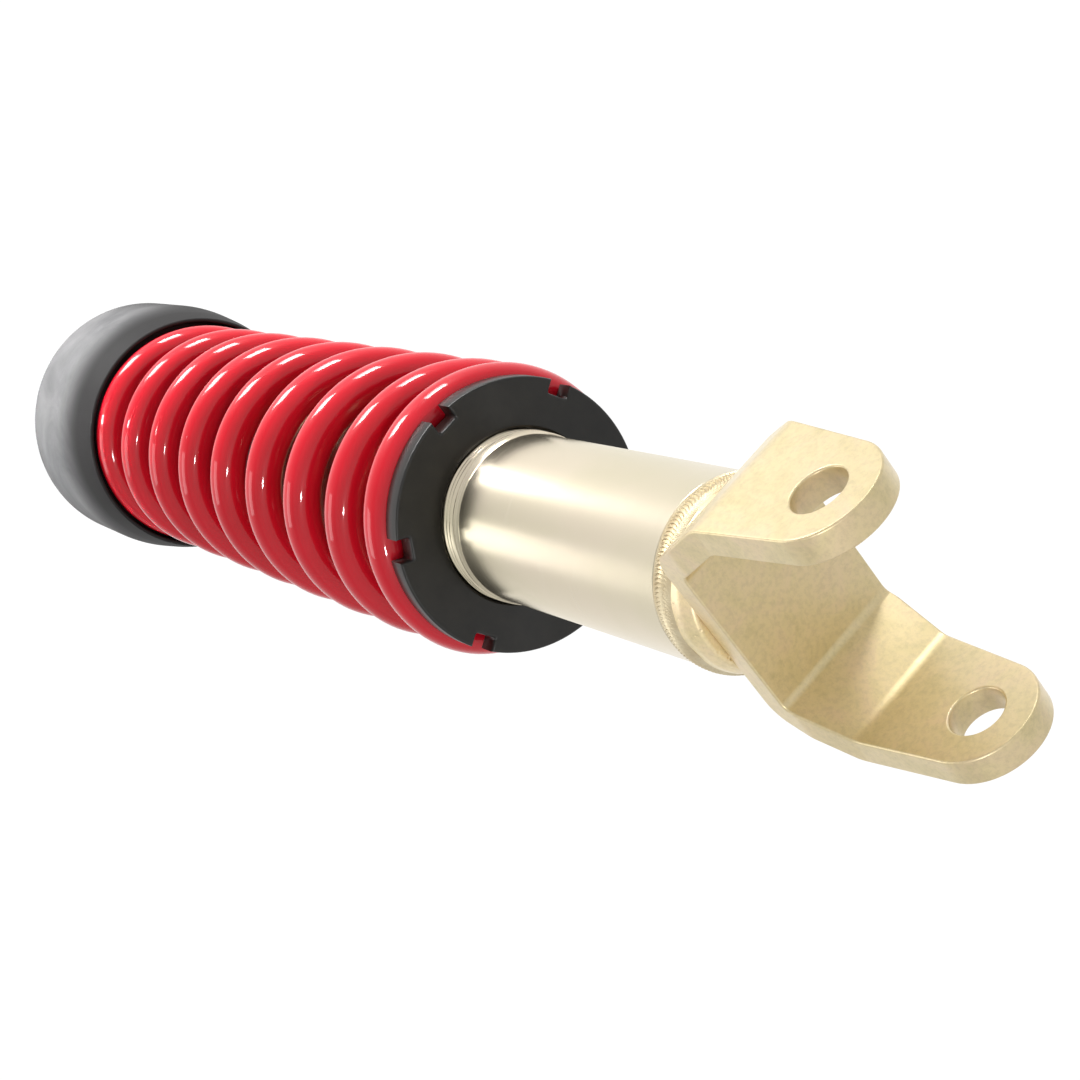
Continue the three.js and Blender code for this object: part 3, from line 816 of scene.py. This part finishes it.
def make_isolator():
    """A rubber cup whose lip tapers in and softens round the last coil."""
    low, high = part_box("upper_isolator")
    r = high.x
    lip = 50.5 * MM
    hat_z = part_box("upper_perch")[0].z
    seat = hat_z - 7.3 * MM
    inner = HAT_R + GAP
    groove = HAT_BRIM_R + GAP
    skirt = HAT_WALL_R + 0.1 * MM
    outline = [
        (lip, seat, 1.5 * MM), (lip, low.z, 1 * MM), (lip + 1.6 * MM, low.z, 1.5 * MM),
        (lip + 4 * MM, low.z + 14 * MM, 60 * MM), (r - 0.2 * MM, low.z + 34 * MM, 80 * MM),
        (r - 0.5 * MM, high.z, 5 * MM), (inner, high.z, 1.2 * MM),
        (inner, hat_z + HAT_BRIM_T + GAP), (groove, hat_z + HAT_BRIM_T + GAP), (groove, hat_z - GAP),
        (skirt, hat_z - GAP), (skirt, seat, 1 * MM),
    ]
    isolator = turned("isolator_cup", outline, 0.5 * MM, 192, 10)
    place(isolator, "rod_assembly", PAINTS["isolator_rubber"], ["upper_isolator"])


def make_perch():
    low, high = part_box("upper_perch")
    bore = STUD_R + GAP
    brim = low.z + HAT_BRIM_T
    crown = high.z - 3.6 * MM
    outline = [
        (HAT_WALL_R, low.z), (HAT_BRIM_R, low.z), (HAT_BRIM_R, brim), (HAT_R, brim, 1.5 * MM),
        (HAT_R, high.z, 4 * MM), (bore, high.z), (bore, crown), (HAT_WALL_R, crown, 1 * MM),
    ]
    perch = turned("perch_hat", outline, 0.5 * MM, 144, 6)
    place(perch, "rod_assembly", PAINTS["black_steel"], ["upper_perch"])


def make_dust_tube():
    """Plastic tube with a hem, a clip flange and three shallow beads."""
    low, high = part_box("dust_tube")
    inner = 29.8 * MM
    wall = 31.2 * MM
    outline = [(inner, low.z), (31.8 * MM, low.z), (31.8 * MM, low.z + 5 * MM), (wall, low.z + 6 * MM)]
    raised = wall + 0.5 * MM
    for share in (0.3, 0.55, 0.8):
        z = low.z + share * (high.z - low.z)
        outline += [(wall, z - 2 * MM), (raised, z - 0.8 * MM), (raised, z + 0.8 * MM), (wall, z + 2 * MM)]
    outline += [(wall, high.z - 3 * MM), (high.x, high.z - 3 * MM), (high.x, high.z), (inner, high.z)]
    cover = turned("rod_cover", outline, 0.6 * MM, 128, 3)
    place(cover, "rod_assembly", PAINTS["black_plastic"], ["dust_tube"])


def make_bump_stop():
    low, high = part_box("bump_stop")
    inner = 10.3 * MM
    outline = [(inner, low.z), (13 * MM, low.z, 1 * MM), (16 * MM, low.z + 2.5 * MM, 2 * MM)]
    z = high.z - 40 * MM
    for radius, half in ((20.5, 6), (22.5, 7), (24, 7)):
        outline += [((radius - 3) * MM, z, 1 * MM), (radius * MM, z + half * MM, 6 * MM)]
        z += 2 * half * MM
        outline.append(((radius - 3) * MM, z - 0.1 * MM, 1 * MM))
    outline += [(19 * MM, high.z), (inner, high.z)]
    stop = turned("bump_buffer", outline, 1 * MM, 96, 6)
    place(stop, "rod_assembly", PAINTS["bump_urethane"], ["bump_stop"])


def make_bushings():
    low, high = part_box("lower_bushing")
    outline = [
        (9.5 * MM, low.z), (20.5 * MM, low.z, 1.5 * MM), (high.x, (low.z + high.z) / 2, 5 * MM),
        (20.5 * MM, high.z, 1.5 * MM), (9.5 * MM, high.z),
    ]
    lower = turned("bushing_below", outline, 0.5 * MM, 96, 6)
    place(lower, "rod_assembly", PAINTS["rubber"], ["lower_bushing"])
    low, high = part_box("upper_bushing")
    step = high.z - 12 * MM
    outline = [
        (9.5 * MM, low.z), (12 * MM, low.z), (12 * MM, step), (20.8 * MM, step, 1.5 * MM),
        (high.x, step + 6 * MM, 6 * MM), (20.8 * MM, high.z, 1.5 * MM), (9.5 * MM, high.z),
    ]
    upper = turned("bushing_above", outline, 0.5 * MM, 96, 6)
    place(upper, "rod_assembly", PAINTS["rubber"], ["upper_bushing"])


def make_washer():
    low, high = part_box("stem_washer")
    bore = STUD_R + GAP
    seat = low.z + 1.2 * MM
    outline = [
        (bore, seat), (21.6 * MM, seat, 2 * MM), (high.x - 0.3 * MM, low.z), (high.x, low.z + 2.6 * MM),
        (21.6 * MM, high.z, 2 * MM), (bore, high.z),
    ]
    washer = turned("dished_washer", outline, 0.35 * MM, 96, 4)
    place(washer, "rod_assembly", PAINTS["steel"], ["stem_washer"])


def make_nut():
    """Hexagonal nut whose corners are cut back by a cone at each end."""
    low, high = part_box("stem_nut")
    flats = (high.y - low.y) / 2
    bore = STUD_R + GAP
    segments = 180
    # millimetres in from the end face, down to where the cone leaves the corners
    levels = [0, 0.15, 0.3, 0.45, 0.6, 0.8, 1.0, 1.25, 1.5, 1.9]

    def hexagon(limit):
        def radius(a):
            across = flats / math.cos((a + math.pi / 6) % (math.pi / 3) - math.pi / 6)
            return min(across, limit)

        return radius

    def end(z, sign):
        return [circle(hexagon(flats * 0.97 + d * MM * 1.73), z + sign * d * MM, segments) for d in levels]

    rings = [circle(bore + 0.8 * MM, low.z, segments)]
    rings += end(low.z, 1)
    rings += end(high.z, -1)[::-1]
    rings += [circle(bore + 0.8 * MM, high.z, segments), circle(bore, high.z - 0.8 * MM, segments)]
    rings += [circle(bore, low.z + 0.8 * MM, segments)]
    nut = polygon_object("top_nut", *skin(rings), 25)
    outward(nut)
    place(nut, "rod_assembly", PAINTS["steel"], ["stem_nut"])


def make_rod():
    low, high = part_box("piston_rod")
    rod_r = high.x
    segments = 96
    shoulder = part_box("upper_perch")[1].z - 3.9 * MM
    thread_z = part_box("stem_washer")[0].z
    lower = [
        (0.3 * MM, low.z), (4.3 * MM, low.z), (5 * MM, low.z + 0.7 * MM), (5 * MM, low.z + 30 * MM),
        (rod_r - 0.5 * MM, low.z + 30 * MM), (rod_r, low.z + 30.5 * MM), (rod_r, shoulder - 0.5 * MM),
        (rod_r - 0.5 * MM, shoulder), (STUD_R, shoulder), (STUD_R, thread_z - 1 * MM),
    ]
    rings = [circle(r, z, segments) for r, z in lower]
    rings += thread_rings(STUD_R, 0.75 * MM, STUD_PITCH, thread_z, high.z - 0.9 * MM, segments)
    rings += [circle(STUD_R - 1.0 * MM, high.z, segments), circle(0.3 * MM, high.z, segments)]
    rod = polygon_object("damper_rod", *skin(rings), 25)
    outward(rod)
    place(rod, "rod_assembly", PAINTS["chrome_rod"], ["piston_rod"])


def make_end_cap():
    low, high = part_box("end_cap")
    r = high.x
    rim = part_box("body_tube")[1].z + GAP
    top = high.z - 1.6 * MM
    outline = [
        (10.6 * MM, low.z), (24.6 * MM, low.z), (24.6 * MM, rim), (r, rim), (r, top, 1.6 * MM),
        (15 * MM, top, 0.6 * MM), (13.5 * MM, high.z), (10.6 * MM, high.z),
    ]
    cap = turned("gland_cap", outline, 0.3 * MM, 128, 5)
    place(cap, "strut_body", PAINTS["black_steel"], ["end_cap"])


def paint_inner_nodes():
    """The pieces inside the damper keep their CAD meshes."""
    slots = {row["node"]: row["material_slot"] for row in frame["record"]["subparts"]}
    for name, node in frame["nodes"].items():
        if not node.hide_render:
            node.data.materials.clear()
            node.data.materials.append(PAINTS[slots[name]])


# ---------------------------------------------------------------- stage

# The camera stands below the clevis, on the side of the ear at -X, and looks up along the strut.
CAMERA_AT = Vector((-272.8, 172.9, -359.15)) * MM
CAMERA_RIGHT = Vector((0.56708, -0.65619, -0.49783))
CAMERA_UP = Vector((-0.69546, -0.7053, 0.13746))
LENS = 65.23
FLOOR_Z = -0.46
SKY_STOPS = ((0.0, 0.34), (0.35, 0.50), (0.58, 0.66), (0.72, 0.85), (0.85, 1.0))
SKY_STRENGTH = 1.05


def make_camera():
    camera = bpy.data.objects.new("camera", bpy.data.cameras.new("camera"))
    bpy.context.scene.collection.objects.link(camera)
    back = CAMERA_RIGHT.cross(CAMERA_UP).normalized()
    up = back.cross(CAMERA_RIGHT).normalized()
    turn = Matrix((CAMERA_RIGHT.normalized(), up, back)).transposed()
    camera.matrix_world = Matrix.Translation(CAMERA_AT) @ turn.to_4x4()
    camera.data.lens = LENS
    camera.data.clip_start = 0.01
    bpy.context.scene.camera = camera
    return -back


def make_floor():
    size = 4.0
    corners = [(x * size, y * size, FLOOR_Z) for x, y in ((-1, -1), (1, -1), (1, 1), (-1, 1))]
    floor = polygon_object("floor", corners, [(0, 1, 2, 3)])
    floor.data.materials.append(Paint("floor_paint", (0.72, 0.72, 0.71), 0.7).material)


def make_sky(forward):
    """White ahead of the camera and darker behind it, as in a white cove lit from the far side."""
    world = bpy.data.worlds.new("cove")
    bpy.context.scene.world = world
    world.use_nodes = True
    tree = world.node_tree
    coordinates = tree.nodes.new("ShaderNodeTexCoord")
    dot = tree.nodes.new("ShaderNodeVectorMath")
    dot.operation = "DOT_PRODUCT"
    dot.inputs[1].default_value = (0.9 * forward + 0.42 * CAMERA_UP).normalized()
    tree.links.new(coordinates.outputs["Generated"], dot.inputs[0])
    spread = tree.nodes.new("ShaderNodeMapRange")
    spread.inputs["From Min"].default_value = -1
    tree.links.new(dot.outputs["Value"], spread.inputs["Value"])
    ramp = tree.nodes.new("ShaderNodeValToRGB")
    elements = ramp.color_ramp.elements
    while len(elements) < len(SKY_STOPS):
        elements.new(0.5)
    for element, (position, grey) in zip(elements, SKY_STOPS):
        element.position = position
        element.color = (grey, grey, grey, 1)
    tree.links.new(spread.outputs["Result"], ramp.inputs["Fac"])
    background = tree.nodes["Background"]
    background.inputs["Strength"].default_value = SKY_STRENGTH
    tree.links.new(ramp.outputs["Color"], background.inputs["Color"])


def softbox(name, at, target, size, power, spin=0.0, spread=180):
    """An area light of size (width, height). A spread under 180 degrees narrows it as a grid does."""
    light = bpy.data.lights.new(name, "AREA")
    light.shape = "RECTANGLE"
    light.size, light.size_y = size
    light.energy = power
    light.spread = math.radians(spread)
    lamp = bpy.data.objects.new(name, light)
    bpy.context.scene.collection.objects.link(lamp)
    aim = (Vector(target) - Vector(at)).to_track_quat("-Z", "Y").to_matrix()
    lamp.matrix_world = Matrix.Translation(at) @ (aim @ Matrix.Rotation(spin, 3, "Z")).to_4x4()


def make_lights():
    """Two gridded boxes on the spring, a small lamp below, a weak rim light and one on the isolator."""
    softbox("strip", (-0.925, 0, 0.78), (-0.045, 0, 0.42), (0.24, 0.62), 0.78, spin=0.1, spread=42)
    softbox("soft_top", (-0.915, -0.49, 0.43), (-0.045, 0, 0.40), (0.26, 0.46), 0.66, spread=42)
    softbox("lamp_below", (-0.07, 0.475, -0.334), (-0.045, 0, 0.33), (0.045, 0.045), 1.0)
    softbox("rim_left", (-0.40, 0.90, 0.80), (0, 0, 0.50), (0.5, 0.5), 2)
    softbox("snoot", (-0.75, 0.70, 0.80), (0, 0, 0.535), (0.10, 0.10), 0.06, spread=14)


bpy.context.scene.view_settings.view_transform = "Standard"
make_spring()
make_clevis()
make_end_plug()
make_weld()
make_tube()
make_collar()
make_isolator()
make_perch()
make_dust_tube()
make_bump_stop()
make_bushings()
make_washer()
make_nut()
make_rod()
make_end_cap()
paint_inner_nodes()
make_sky(make_camera())
make_floor()
make_lights()
